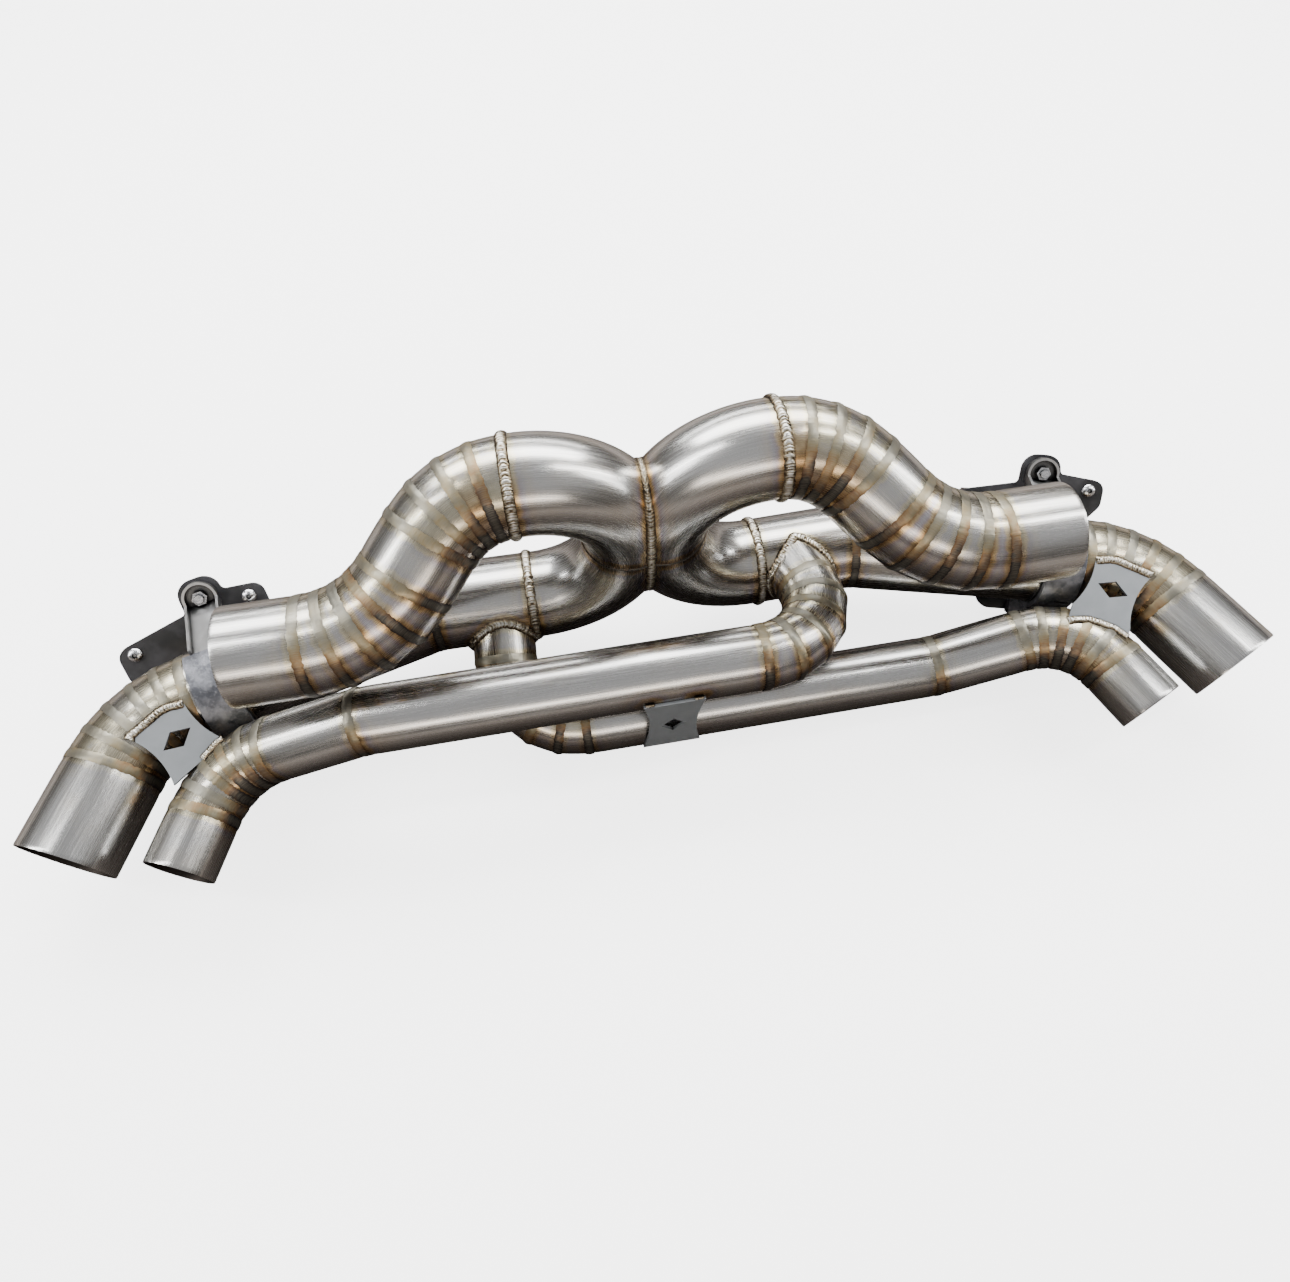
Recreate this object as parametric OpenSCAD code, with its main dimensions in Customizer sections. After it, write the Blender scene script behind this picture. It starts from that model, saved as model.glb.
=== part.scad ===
// Racing exhaust system: a straight-through crossover exhaust for a mid-engined car.
// Two 3.5 inch inlets run through pie-cut S-bends into an X-shaped junction and back out
// along two rear pipes to a pair of large tips. Two 2.5 inch crossover tubes take gas from
// each rear pipe to a smaller tip on the opposite side.
// +X is the car's right, +Y is forward and +Z is up. X = 0 is the car's centre plane.

/* [Tubes] */
// Outside diameter of the main tubes and the outer tips (3.5 inch)
main_od = 88.9; // [80:0.1:92]
// Outside diameter of the crossover tubes and the inner tips (2.5 inch)
cross_od = 63.5; // [50:0.1:66]
// Wall of every tube
wall = 1.5; // [1:0.1:2.5]
// Gap left between two tube pieces for their weld
weld_gap = 0.1; // [0.05:0.05:0.5]

/* [X junction] */
// Centreline radius of the junction elbows
junction_r = 94.5; // [92:0.5:98]
// Distance from the centre plane to the centre of the junction elbows
junction_x = 110.5; // [106:0.5:114]
// Distance from the centre plane to the welded planes beside the junction
ring_x = 117; // [115:0.5:122]

/* [Inlets and S-bends] */
// Distance from the centre plane to each open inlet face
inlet_x = 374; // [360:1:390]
// How far the inlet axis sits behind the junction
inlet_back = 88; // [80:1:95]
// Height of the inlet axis above the junction centre
inlet_z = 30; // [24:1:36]
// Distance from the centre plane to the inner corner of the S-bend's centreline
s_inner_x = 160.5; // [158:0.5:164]
// Distance from the centre plane to the outer corner of the S-bend's centreline
s_outer_x = 253; // [248:1:260]
// Centreline radius of the outer arc of each S-bend
s_outer_r = 118; // [105:1:125]
// Slices in each arc of the S-bends
s_slices = 4; // [3:1:6]

/* [Rear pipes and outer tips] */
// Distance from the centre plane to the mitred kink in each rear pipe
kink_x = 219; // [212:1:226]
// Distance from the centre plane to the centreline corner before each outer tip
outer_corner_x = 503; // [495:1:510]
// How far that corner sits behind the junction
outer_corner_back = 74; // [68:1:78]
// Distance from the centre plane to the mouth of each outer tip
outer_tip_x = 563; // [555:1:570]
// How far the mouth of each outer tip sits behind the junction
outer_tip_back = 203; // [195:1:210]
// Centreline radius of the outer tip bends
outer_bend_r = 115; // [105:1:125]
// Slices in each outer tip bend
outer_slices = 5; // [3:1:7]
// Depth of all four tips below the junction centre
tip_drop = 91.5; // [88:0.5:96]

/* [Crossover tubes and inner tips] */
// Half of the height between the two crossover tubes
cross_gap = 46.5; // [42:0.5:50]
// How far the crossover tubes sit behind the junction
cross_back = 133; // [130:1:140]
// Distance from the centre plane to the mitred kink in each crossover tube
cross_kink_x = 284; // [276:1:292]
// Distance from the centre plane to the centreline corner before each inner tip
inner_corner_x = 421; // [415:1:426]
// Distance from the centre plane to the mouth of each inner tip
inner_tip_x = 462.5; // [456:0.5:468]
// How far the mouth of each inner tip sits behind the junction
inner_tip_back = 230.5; // [225:0.5:240]
// Centreline radius of the inner tip bends
inner_bend_r = 77; // [70:1:84]
// Slices in each inner tip bend
inner_slices = 5; // [3:1:7]

/* [Branches] */
// Distance from the centre plane to the branch out of each rear pipe
branch_x = 149; // [146:1:154]
// How far the right branch starts above the rear pipe's axis
right_branch_lift = 10; // [8:1:14]
// Distance from the centre plane to the centreline corner of the right branch
right_corner_x = 173.5; // [168:0.5:178]
// Distance from the centre plane to the centreline corner of the left branch
left_corner_x = 158; // [154:0.5:162]
// Centreline radius of the branch elbows
branch_r = 70; // [66:1:72]
// Slices in each branch elbow
branch_slices = 5; // [4:1:7]

/* [Gussets] */
// Thickness of the gusset plates
gusset_t = 3; // [2:0.5:4]
// Length of each gusset along its tubes
gusset_len = 58; // [50:1:62]
// Long diagonal of the diamond hole in each gusset
diamond_long = 30; // [20:1:32]
// Short diagonal of the diamond hole in each gusset
diamond_short = 19; // [12:1:22]

/* [Hangers] */
// Distance from the centre plane to the middle of each hanger clamp
clamp_x = 425; // [418:1:430]
// Width of the cast clamp saddle along the pipe
saddle_w = 36; // [30:1:40]
// Radial thickness of the cast clamp saddle
saddle_t = 6; // [5:0.5:7]
// Thickness of the liner between the clamp and the pipe
liner_t = 1; // [0.8:0.1:1.5]
// Thickness of the black hanger plate
plate_t = 5; // [4:0.5:6]
// Thread diameter of the clamp bolts and the chassis bolts (M8)
bolt_d = 8; // [6:1:8]
// Distance from the clamp middle to the far chassis bolt, along the pipe
far_ear = 74; // [72:1:80]
// Distance from the clamp middle to the near chassis bolt, along the pipe
near_ear = 48; // [46:1:52]
// Length of the coupling nuts that the chassis bolts are screwed into
coupling_len = 30; // [20:1:36]

/* [Hidden] */
$fn = 72;

TITANIUM = [0.72, 0.70, 0.66];
BLASTED = [0.66, 0.68, 0.69];
CAST = [0.58, 0.58, 0.60];
STEEL = [0.70, 0.70, 0.72];
BLACK = [0.12, 0.12, 0.12];
ZINC = [0.82, 0.82, 0.84];

LEFT = -1;
RIGHT = 1;
main_r = main_od / 2;
cross_r = cross_od / 2;

function unit(v) = v / norm(v);
function lerp(a, b, f) = a + (b - a) * f;

// A station is [point, normal]: where two tube pieces meet, and the plane they meet in.
function square_end(p, from) = [p, unit(p - from)];
function mitre(a, p, b) = [p, unit(unit(p - a) + unit(b - p))];
function turn(a, p, b) = acos(unit(p - a) * unit(b - p));

// Stations of a pie-cut bend of radius r around corner p, from the line a-p to the line p-b.
function pie_bend(a, p, b, r, slices) =
    let (
        u = unit(p - a),
        w = unit(b - p),
        angle = turn(a, p, b),
        inward = unit(w - u * (u * w)),
        centre = p - u * r * tan(angle / 2) + inward * r
    )
    [for (i = [0 : slices])
        let (f = angle * i / slices)
        [centre - inward * r * cos(f) + u * r * sin(f), u * cos(f) + inward * sin(f)]];

// Centreline corners of the right half, measured from the junction centre.
ring_top = [ring_x, 0, junction_r];
s_inner = [s_inner_x, 0, junction_r];
s_outer = [s_outer_x, -inlet_back, inlet_z];
inlet_end = [inlet_x, -inlet_back, inlet_z];
ring_low = [ring_x, 0, -junction_r];
kink = [kink_x, 0, -tip_drop];
outer_corner = [outer_corner_x, -outer_corner_back, -tip_drop];
outer_end = [outer_tip_x, -outer_tip_back, -tip_drop];
inner_corner = [inner_corner_x, -cross_back, -tip_drop];
inner_end = [inner_tip_x, -inner_tip_back, -tip_drop];

// The first arc of the S-bend starts at the ring weld.
s_inner_r = (s_inner_x - ring_x) / tan(turn(ring_top, s_inner, s_outer) / 2);
s_stations = concat(
    pie_bend(ring_top, s_inner, s_outer, s_inner_r, s_slices),
    pie_bend(s_inner, s_outer, inlet_end, s_outer_r, s_slices)
);
kink_station = mitre(ring_low, kink, outer_corner);
outer_stations = pie_bend(kink, outer_corner, outer_end, outer_bend_r, outer_slices);

// The lower crossover tube serves the right side and the upper one serves the left side.
// Left-hand corners are given mirrored, as if they were on the right.
function cross_z(side) = -tip_drop - side * cross_gap;
function cross_kink(side) = [cross_kink_x, -cross_back, cross_z(side)];
function cross_start(side) = [0, -cross_back, cross_z(side)];
function inner_stations(side) =
    pie_bend(cross_kink(side), inner_corner, inner_end, inner_bend_r, inner_slices);
function cross_kink_station(side) = mitre(cross_start(side), cross_kink(side), inner_corner);

// A branch leaves the rear pipe on its own side and joins the other side's crossover tube.
function branch_start(side) =
    lerp(ring_low, kink, (branch_x - ring_x) / (kink_x - ring_x))
    + [0, 0, side == RIGHT ? right_branch_lift : 0];
function branch_corner(side) =
    [side == RIGHT ? right_corner_x : left_corner_x, -cross_back, cross_z(-side)];
function branch_end(side) = [0, -cross_back, cross_z(-side)];
function branch_stations(side) =
    pie_bend(branch_start(side), branch_corner(side), branch_end(side), branch_r, branch_slices);

// Hanger frame: u runs along the pipe, v up the plate, w out of the plate.
pipe_dir = unit(outer_corner - kink);
clamp_c = lerp(kink, outer_corner, (clamp_x - kink_x) / (outer_corner_x - kink_x));
plate_tilt = 45;
plate_up = [0, -sin(plate_tilt), cos(plate_tilt)];
plate_w = unit(plate_up - pipe_dir * (plate_up * pipe_dir));
plate_v = cross(plate_w, pipe_dir);
liner_r = main_r + liner_t;
saddle_r = liner_r + saddle_t;
plate_top = -saddle_r;
plate_low = plate_top - plate_t;
clear_r = bolt_d / 2 + 0.3;
top_bolt = [-6, 84];
foot_bolt = [9, -59];
far_hole = [far_ear, 52];
near_hole = [-near_ear, 68];
foot_h = 13;
arm_t = 3.5;
arm_w = 33;
arm_angle = 25;
flange_t = 2.5;
flange_h = 6;
head_h = 5.3;
nut_h = 6.5;
hex_d = 15;
bolt_end = 4;
thread_depth = 12;

function in_hanger_frame(u, v, w) = clamp_c + pipe_dir * u + plate_v * v + plate_w * w;

// How far a nut's corners reach along Y.
hex_reach = max([for (a = [0 : 60 : 300]) (pipe_dir * cos(a) + plate_v * sin(a))[1]]) * hex_d / 2;

// The datum is the centre of the box around the whole system. The coupling nuts reach
// furthest forward and the foot bolts reach lowest.
nut_end = in_hanger_frame(-near_ear, near_hole[1], plate_low - coupling_len);
foot_end = in_hanger_frame(0, foot_bolt[1], plate_low - nut_h - bolt_end);
front_reach = nut_end[1] + hex_reach;
back_reach = inner_tip_back + cross_r * unit(inner_end - inner_corner)[0];
top_reach = junction_r + main_r;
low_reach = bolt_d / 2 * plate_v[2] - foot_end[2];
datum = [0, (front_reach - back_reach) / 2, (top_reach - low_reach) / 2];

module placed(side) {
    translate(-datum)
        if (side == LEFT)
            mirror([1, 0, 0]) children();
        else
            children();
}

// Turns children drawn along +Z so that they start at p and run along d.
module along(p, d) {
    translate(p)
        rotate([0, acos(d[2] / norm(d)), atan2(d[1], d[0])])
            children();
}

// Everything beyond the plane through p with normal d, out to a cube's size.
module beyond(p, d, size) {
    along(p, d)
        translate([-size / 2, -size / 2, 0])
            cube(size);
}

// A solid round bar of diameter d between two stations, cut gap short of their planes.
module bar(s0, s1, d, gap = 0) {
    dir = unit(s1[0] - s0[0]);
    difference() {
        along(s0[0] - dir * d, dir)
            cylinder(d = d, h = norm(s1[0] - s0[0]) + 2 * d);
        beyond(s0[0] + s0[1] * gap, -s0[1], 4 * d);
        beyond(s1[0] - s1[1] * gap, s1[1], 4 * d);
    }
}

// A tube between two stations.
module tube(s0, s1, od) {
    dir = unit(s1[0] - s0[0]);
    difference() {
        bar(s0, s1, od, weld_gap / 2);
        along(s0[0] - dir * (od + 1), dir)
            cylinder(d = od - 2 * wall, h = norm(s1[0] - s0[0]) + 2 * od + 2);
    }
}

// Tube slices between consecutive stations.
module slices(stations, od) {
    for (i = [0 : len(stations) - 2])
        tube(stations[i], stations[i + 1], od);
}

// The outer shape of a bend and the straight tube after it, drawn as overlapping bars.
module bend_bars(stations, end, d) {
    overlap = 0.5;
    all = concat(stations, [end]);
    for (i = [0 : len(all) - 2])
        bar(all[i], all[i + 1], d, -overlap);
}

// A quarter of the junction: an elbow from the ring weld to the plane Z = 0, cut at X = 0.
module junction_elbow(side, up) {
    color(TITANIUM)
        placed(side)
            mirror([0, 0, up ? 0 : 1])
                difference() {
                    union() {
                        translate([junction_x, 0, 0])
                            rotate([90, 0, 0])
                                rotate([0, 0, 90])
                                    rotate_extrude(angle = 90)
                                        translate([junction_r, 0])
                                            tube_section();
                        translate([junction_x, 0, junction_r])
                            rotate([0, 90, 0])
                                linear_extrude(ring_x - junction_x)
                                    tube_section();
                    }
                    beyond([0, 0, 0], [-1, 0, 0], 4 * main_od);
                }
}

module tube_section() {
    difference() {
        circle(main_r);
        circle(main_r - wall);
    }
}

module s_bend(side) {
    color(TITANIUM) placed(side) slices(s_stations, main_od);
}

module inlet_pipe(side) {
    color(TITANIUM)
        placed(side)
            tube(s_stations[len(s_stations) - 1], square_end(inlet_end, s_outer), main_od);
}

// The branch hole goes through the wall that faces the branch.
module rear_pipe(side) {
    start = branch_start(side);
    color(TITANIUM)
        placed(side)
            difference() {
                tube([ring_low, [1, 0, 0]], kink_station, main_od);
                along(start, branch_corner(side) - start)
                    cylinder(d = cross_od - 2 * wall, h = main_od);
            }
}

module hanger_pipe(side) {
    color(TITANIUM) placed(side) tube(kink_station, outer_stations[0], main_od);
}

module outer_bend(side) {
    color(TITANIUM) placed(side) slices(outer_stations, main_od);
}

module outer_tip(side) {
    color(TITANIUM)
        placed(side)
            tube(outer_stations[outer_slices], square_end(outer_end, outer_corner), main_od);
}

// A short tube whose end is cut to the round of the rear pipe.
module branch_stub(side) {
    start = branch_start(side);
    color(TITANIUM)
        placed(side)
            difference() {
                tube(square_end(start, start - branch_corner(side)), branch_stations(side)[0], cross_od);
                bar([ring_low, [1, 0, 0]], kink_station, main_od);
            }
}

module branch_elbow(side) {
    color(TITANIUM) placed(side) slices(branch_stations(side), cross_od);
}

// side is the side whose inner tip the crossover tube serves.
module crossover_tube(side) {
    other = branch_stations(-side)[branch_slices];
    mirrored = [[-other[0][0], other[0][1], other[0][2]], [1, 0, 0]];
    color(TITANIUM) placed(side) tube(mirrored, cross_kink_station(side), cross_od);
}

module crossover_end(side) {
    color(TITANIUM)
        placed(side) tube(cross_kink_station(side), inner_stations(side)[0], cross_od);
}

module inner_bend(side) {
    color(TITANIUM) placed(side) slices(inner_stations(side), cross_od);
}

module inner_tip(side) {
    color(TITANIUM)
        placed(side)
            tube(
                inner_stations(side)[inner_slices],
                square_end(inner_end, inner_corner),
                cross_od
            );
}

// Flat gusset in the XY plane: two hollowed free ends and a diamond hole.
module gusset_shape(length, width, long, short) {
    hollow = 6;
    hollow_r = (pow(width / 2, 2) + hollow * hollow) / (2 * hollow);
    difference() {
        square([length, width], center = true);
        for (s = [-1, 1])
            translate([s * (length / 2 + hollow_r - hollow), 0])
                circle(hollow_r);
        polygon([[-long / 2, 0], [0, -short / 2], [long / 2, 0], [0, short / 2]]);
    }
}

// The gusset between each pair of tips lies on the upper sides of the two tubes and is
// trimmed to them. It slopes down towards the smaller tube.
gusset_c = [454.5, -115.5, -58.5];
gusset_turn = -39;
gusset_slope = 11;
gusset_span = 62;
module tip_gusset(side) {
    color(BLASTED)
        placed(side)
            difference() {
                translate(gusset_c)
                    rotate([0, 0, gusset_turn])
                        rotate([gusset_slope, 0, 0])
                            linear_extrude(gusset_t, center = true)
                                gusset_shape(gusset_len, gusset_span, diamond_long, diamond_short);
                bend_bars(outer_stations, square_end(outer_end, outer_corner), main_od + weld_gap);
                bend_bars(
                    inner_stations(side), square_end(inner_end, inner_corner), cross_od + weld_gap
                );
            }
}

// The centre gusset stands against the backs of the two crossover tubes.
module centre_gusset() {
    overlap = 5;
    width = 2 * (cross_gap + overlap);
    diamond_up = 24;
    color(BLASTED)
        placed(RIGHT)
            translate([0, -cross_back - cross_r, -tip_drop])
                rotate([90, 90, 0])
                    linear_extrude(gusset_t)
                        rotate([0, 0, 90])
                            gusset_shape(gusset_len, width, diamond_up, diamond_long);
}

module in_hanger(side) {
    placed(side)
        multmatrix([
            [pipe_dir[0], plate_v[0], plate_w[0], clamp_c[0]],
            [pipe_dir[1], plate_v[1], plate_w[1], clamp_c[1]],
            [pipe_dir[2], plate_v[2], plate_w[2], clamp_c[2]],
            [0, 0, 0, 1]
        ])
            children();
}

// The far ear points outwards on the left and inwards on the right.
function ear_flip(side) = side == LEFT ? 1 : -1;
function flip(side, p) = [ear_flip(side) * p[0], p[1]];

// A polygon's corners rounded to the radii given with them as [x, y, r].
function rounded(pts) = [
    for (i = [0 : len(pts) - 1])
        let (
            n = len(pts),
            p = [pts[i][0], pts[i][1]],
            a = [pts[(i + n - 1) % n][0], pts[(i + n - 1) % n][1]],
            b = [pts[(i + 1) % n][0], pts[(i + 1) % n][1]],
            r = pts[i][2],
            u = unit(a - p),
            w = unit(b - p),
            half = acos(u * w) / 2,
            centre = p + unit(u + w) * r / sin(half),
            from = p + u * r / tan(half) - centre,
            to = p + w * r / tan(half) - centre,
            sweep = 180 - 2 * half,
            steps = 6
        )
        for (k = [0 : steps])
            centre + (from * sin(sweep * (1 - k / steps)) + to * sin(sweep * k / steps)) / sin(sweep)
];

// Foot edge, far ear, round lobe behind the arm's ear, and near ear.
function plate_outline(side) =
    let (
        lobe = ear_flip(side) * top_bolt[0],
        half = 20,
        ear = 16
    )
    [
        [-40, -70, 14], [46, -70, 16],
        [far_ear + ear, 30, 12], [far_ear + ear, 60, 13],
        [lobe + half + 1, 72, 5], [lobe + half, 103, 16],
        [lobe - half, 103, 16], [lobe - half - 1, 84, 5],
        [-near_ear - ear, 78, 12], [-near_ear - ear, 52, 12], [-46, 30, 10]
    ];

module hanger_plate(side) {
    color(BLACK)
        in_hanger(side)
            difference() {
                translate([0, 0, plate_low])
                    linear_extrude(plate_t)
                        polygon([for (p = rounded(plate_outline(side))) flip(side, p)]);
                for (p = [top_bolt, foot_bolt, flip(side, far_hole), flip(side, near_hole)])
                    translate([p[0], p[1], plate_low - 1])
                        cylinder(r = clear_r, h = plate_t + 2);
            }
}

module clamp_liner(side) {
    liner_w = saddle_w + 6;
    color(STEEL)
        in_hanger(side)
            rotate([0, 90, 0])
                difference() {
                    cylinder(r = liner_r, h = liner_w, center = true);
                    cylinder(r = main_r, h = liner_w + 2, center = true);
                }
}

// Side view of the saddle in V and W: a band over the pipe that ends in a foot.
module saddle_side() {
    foot_out = 72;
    foot_in = 16;
    difference() {
        union() {
            difference() {
                circle(saddle_r);
                polygon([
                    [0, 0],
                    [2 * saddle_r * cos(arm_angle), 2 * saddle_r * sin(arm_angle)],
                    [2 * saddle_r, -2 * saddle_r],
                    [-foot_in, -2 * saddle_r]
                ]);
            }
            translate([-foot_out, plate_top])
                square([foot_out - foot_in, foot_h]);
        }
        circle(liner_r);
    }
}

module clamp_saddle(side) {
    slot = [14, 5, 1.6];
    slot_angle = 110;
    color(CAST)
        in_hanger(side)
            difference() {
                rotate([90, 0, 90])
                    linear_extrude(saddle_w, center = true)
                        saddle_side();
                translate([foot_bolt[0], foot_bolt[1], plate_top - 1])
                    cylinder(r = clear_r, h = foot_h + 2);
                // Casting slot across the band
                rotate([slot_angle + arm_angle, 0, 0])
                    translate([0, liner_r + saddle_t / 2, 0])
                        cube(slot);
            }
}

// The arm's side view: a straight leg off the saddle, then flat onto the plate.
arm_gap = 1.5;
function arm_path(lift) =
    let (
        r = liner_r + arm_gap + lift,
        dir = [sin(arm_angle), -cos(arm_angle)],
        start = [r * cos(arm_angle), r * sin(arm_angle)],
        drop = start[1] - plate_top - lift,
        knee = start + dir * drop / cos(arm_angle)
    )
    [start, knee];

// Side view of a strip of the arm between two heights above its inner face.
module arm_side(low, high, reach) {
    inner = arm_path(low);
    outer = arm_path(high);
    polygon([inner[0], inner[1], [reach, plate_top + low], [reach, plate_top + high], outer[1], outer[0]]);
}

module arm_strip(from, width, low, high, reach) {
    translate([from, 0, 0])
        rotate([90, 0, 90])
            linear_extrude(width)
                arm_side(low, high, reach);
}

// Pressed arm: a leg with a raised flange on each side, and a round ear on the plate.
module clamp_arm(side) {
    mid = top_bolt[0];
    ear_v = top_bolt[1];
    half = arm_w / 2;
    color(STEEL)
        in_hanger(side)
            difference() {
                union() {
                    arm_strip(mid - half, arm_w, 0, arm_t, ear_v);
                    for (s = [mid - half, mid + half - flange_t])
                        arm_strip(s, flange_t, arm_t, arm_t + flange_h, ear_v);
                    translate([mid, ear_v, plate_top])
                        intersection() {
                            union() {
                                cylinder(r = half, h = arm_t);
                                difference() {
                                    cylinder(r = half, h = arm_t + flange_h);
                                    translate([0, 0, -1])
                                        cylinder(r = half - flange_t, h = arm_t + flange_h + 2);
                                }
                            }
                            translate([-half, 0, 0])
                                cube([arm_w, half, arm_t + flange_h]);
                        }
                }
                translate([mid, ear_v, plate_top - 1])
                    cylinder(r = clear_r, h = arm_t + 2);
            }
}

// A hexagon bolt standing on w = 0 with its head above and its shank below.
module hex_bolt(shank) {
    cylinder(d = hex_d, h = head_h, $fn = 6);
    translate([0, 0, -shank])
        cylinder(d = bolt_d, h = shank);
}

module hex_nut(h) {
    difference() {
        cylinder(d = hex_d, h = h, $fn = 6);
        translate([0, 0, -1])
            cylinder(d = bolt_d, h = h + 2);
    }
}

// The top bolt points up through the arm; the foot bolt points down through the saddle.
top_shank = plate_t + arm_t + nut_h + bolt_end;
foot_shank = foot_h + plate_t + nut_h + bolt_end;
module clamp_bolts(side) {
    color(ZINC)
        in_hanger(side) {
            translate([top_bolt[0], top_bolt[1], plate_low])
                mirror([0, 0, 1]) hex_bolt(top_shank);
            translate([foot_bolt[0], foot_bolt[1], plate_top + foot_h])
                hex_bolt(foot_shank);
        }
}

module clamp_nuts(side) {
    color(ZINC)
        in_hanger(side) {
            translate([top_bolt[0], top_bolt[1], plate_top + arm_t]) hex_nut(nut_h);
            translate([foot_bolt[0], foot_bolt[1], plate_low - nut_h]) hex_nut(nut_h);
        }
}

// Button-head bolts through the ears of the plate, into coupling nuts behind it.
module chassis_bolts(side) {
    button_d = 14;
    button_h = 4.4;
    crown_r = 9.5;
    socket_d = 5.8;
    socket_depth = 2.5;
    color(ZINC)
        in_hanger(side)
            for (p = [far_hole, near_hole])
                translate([flip(side, p)[0], p[1], plate_top]) {
                    difference() {
                        intersection() {
                            cylinder(d = button_d, h = button_h);
                            translate([0, 0, button_h - crown_r]) sphere(crown_r);
                        }
                        translate([0, 0, button_h - socket_depth])
                            cylinder(d = socket_d, h = socket_depth + 1, $fn = 6);
                    }
                    translate([0, 0, -plate_t - thread_depth])
                        cylinder(d = bolt_d, h = plate_t + thread_depth);
                }
}

// The bolt's end of each coupling nut is relieved, and the other end is left for a stud.
module coupling_nuts(side) {
    relief = 0.6;
    color(ZINC)
        in_hanger(side)
            for (p = [far_hole, near_hole])
                translate([flip(side, p)[0], p[1], plate_low - coupling_len])
                    difference() {
                        hex_nut(coupling_len);
                        translate([0, 0, coupling_len - thread_depth])
                            cylinder(r = bolt_d / 2 + relief, h = thread_depth + 1);
                    }
}

junction_elbow(LEFT, true);  // upper_elbow_left
junction_elbow(RIGHT, true);  // upper_elbow_right
junction_elbow(LEFT, false);  // lower_elbow_left
junction_elbow(RIGHT, false);  // lower_elbow_right
s_bend(LEFT);  // s_bend_left
s_bend(RIGHT);  // s_bend_right
inlet_pipe(LEFT);  // inlet_pipe_left
inlet_pipe(RIGHT);  // inlet_pipe_right
rear_pipe(LEFT);  // rear_pipe_left
rear_pipe(RIGHT);  // rear_pipe_right
hanger_pipe(LEFT);  // hanger_pipe_left
hanger_pipe(RIGHT);  // hanger_pipe_right
outer_bend(LEFT);  // outer_bend_left
outer_bend(RIGHT);  // outer_bend_right
outer_tip(LEFT);  // outer_tip_left
outer_tip(RIGHT);  // outer_tip_right
branch_stub(LEFT);  // branch_stub_left
branch_stub(RIGHT);  // branch_stub_right
branch_elbow(LEFT);  // branch_elbow_left
branch_elbow(RIGHT);  // branch_elbow_right
crossover_tube(LEFT);  // crossover_tube_upper
crossover_tube(RIGHT);  // crossover_tube_lower
crossover_end(LEFT);  // crossover_end_left
crossover_end(RIGHT);  // crossover_end_right
inner_bend(LEFT);  // inner_bend_left
inner_bend(RIGHT);  // inner_bend_right
inner_tip(LEFT);  // inner_tip_left
inner_tip(RIGHT);  // inner_tip_right
tip_gusset(LEFT);  // tip_gusset_left
tip_gusset(RIGHT);  // tip_gusset_right
centre_gusset();
hanger_plate(LEFT);  // hanger_plate_left
hanger_plate(RIGHT);  // hanger_plate_right
clamp_saddle(LEFT);  // clamp_saddle_left
clamp_saddle(RIGHT);  // clamp_saddle_right
clamp_arm(LEFT);  // clamp_arm_left
clamp_arm(RIGHT);  // clamp_arm_right
clamp_liner(LEFT);  // clamp_liner_left
clamp_liner(RIGHT);  // clamp_liner_right
clamp_bolts(LEFT);  // clamp_bolts_left
clamp_bolts(RIGHT);  // clamp_bolts_right
clamp_nuts(LEFT);  // clamp_nuts_left
clamp_nuts(RIGHT);  // clamp_nuts_right
chassis_bolts(LEFT);  // chassis_bolts_left
chassis_bolts(RIGHT);  // chassis_bolts_right
coupling_nuts(LEFT);  // coupling_nuts_left
coupling_nuts(RIGHT);  // coupling_nuts_right
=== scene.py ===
"""Looks of the racing exhaust system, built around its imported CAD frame.

Each tube gets a finer skin, made on the axis, radius and end planes read off its CAD node.
Each weld gets a bead of its own, laid along the line where two CAD parts meet.
The gussets, clamps, plates and fasteners keep their CAD shapes and get materials.
"""
import math

import bmesh
import bpy
import numpy as np
from mathutils import Matrix, Vector
from mathutils.kdtree import KDTree


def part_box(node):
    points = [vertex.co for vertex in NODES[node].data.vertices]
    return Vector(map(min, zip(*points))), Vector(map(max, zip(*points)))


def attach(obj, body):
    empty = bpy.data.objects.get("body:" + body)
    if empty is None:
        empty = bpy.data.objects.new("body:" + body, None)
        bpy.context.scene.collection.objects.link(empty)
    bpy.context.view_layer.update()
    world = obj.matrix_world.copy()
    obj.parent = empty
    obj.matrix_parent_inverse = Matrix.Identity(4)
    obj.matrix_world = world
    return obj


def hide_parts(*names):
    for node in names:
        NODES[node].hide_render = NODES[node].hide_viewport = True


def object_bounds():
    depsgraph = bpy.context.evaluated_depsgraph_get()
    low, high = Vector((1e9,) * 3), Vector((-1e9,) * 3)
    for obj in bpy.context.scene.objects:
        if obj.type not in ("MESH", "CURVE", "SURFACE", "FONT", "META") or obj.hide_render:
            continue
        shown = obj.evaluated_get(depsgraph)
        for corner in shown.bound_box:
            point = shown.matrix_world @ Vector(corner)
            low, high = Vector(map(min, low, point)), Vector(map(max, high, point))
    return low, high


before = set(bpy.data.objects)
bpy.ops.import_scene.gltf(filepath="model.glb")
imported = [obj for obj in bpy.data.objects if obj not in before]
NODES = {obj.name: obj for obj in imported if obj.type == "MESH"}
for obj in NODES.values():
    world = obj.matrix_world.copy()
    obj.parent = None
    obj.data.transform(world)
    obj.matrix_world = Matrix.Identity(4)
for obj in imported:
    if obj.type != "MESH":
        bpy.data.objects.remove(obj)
cad_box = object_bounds()
MM = 0.001
SIDES = ("left", "right")
SAME_POINT = 0.002 * MM
SAME_PLANE = 0.02 * MM
TOUCHING = 0.1 * MM


# ---------------------------------------------------------------- reading the frame

def unit(v):
    """A vector, or each row of an array, at length 1."""
    return v / np.linalg.norm(v, axis=-1, keepdims=True)


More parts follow.
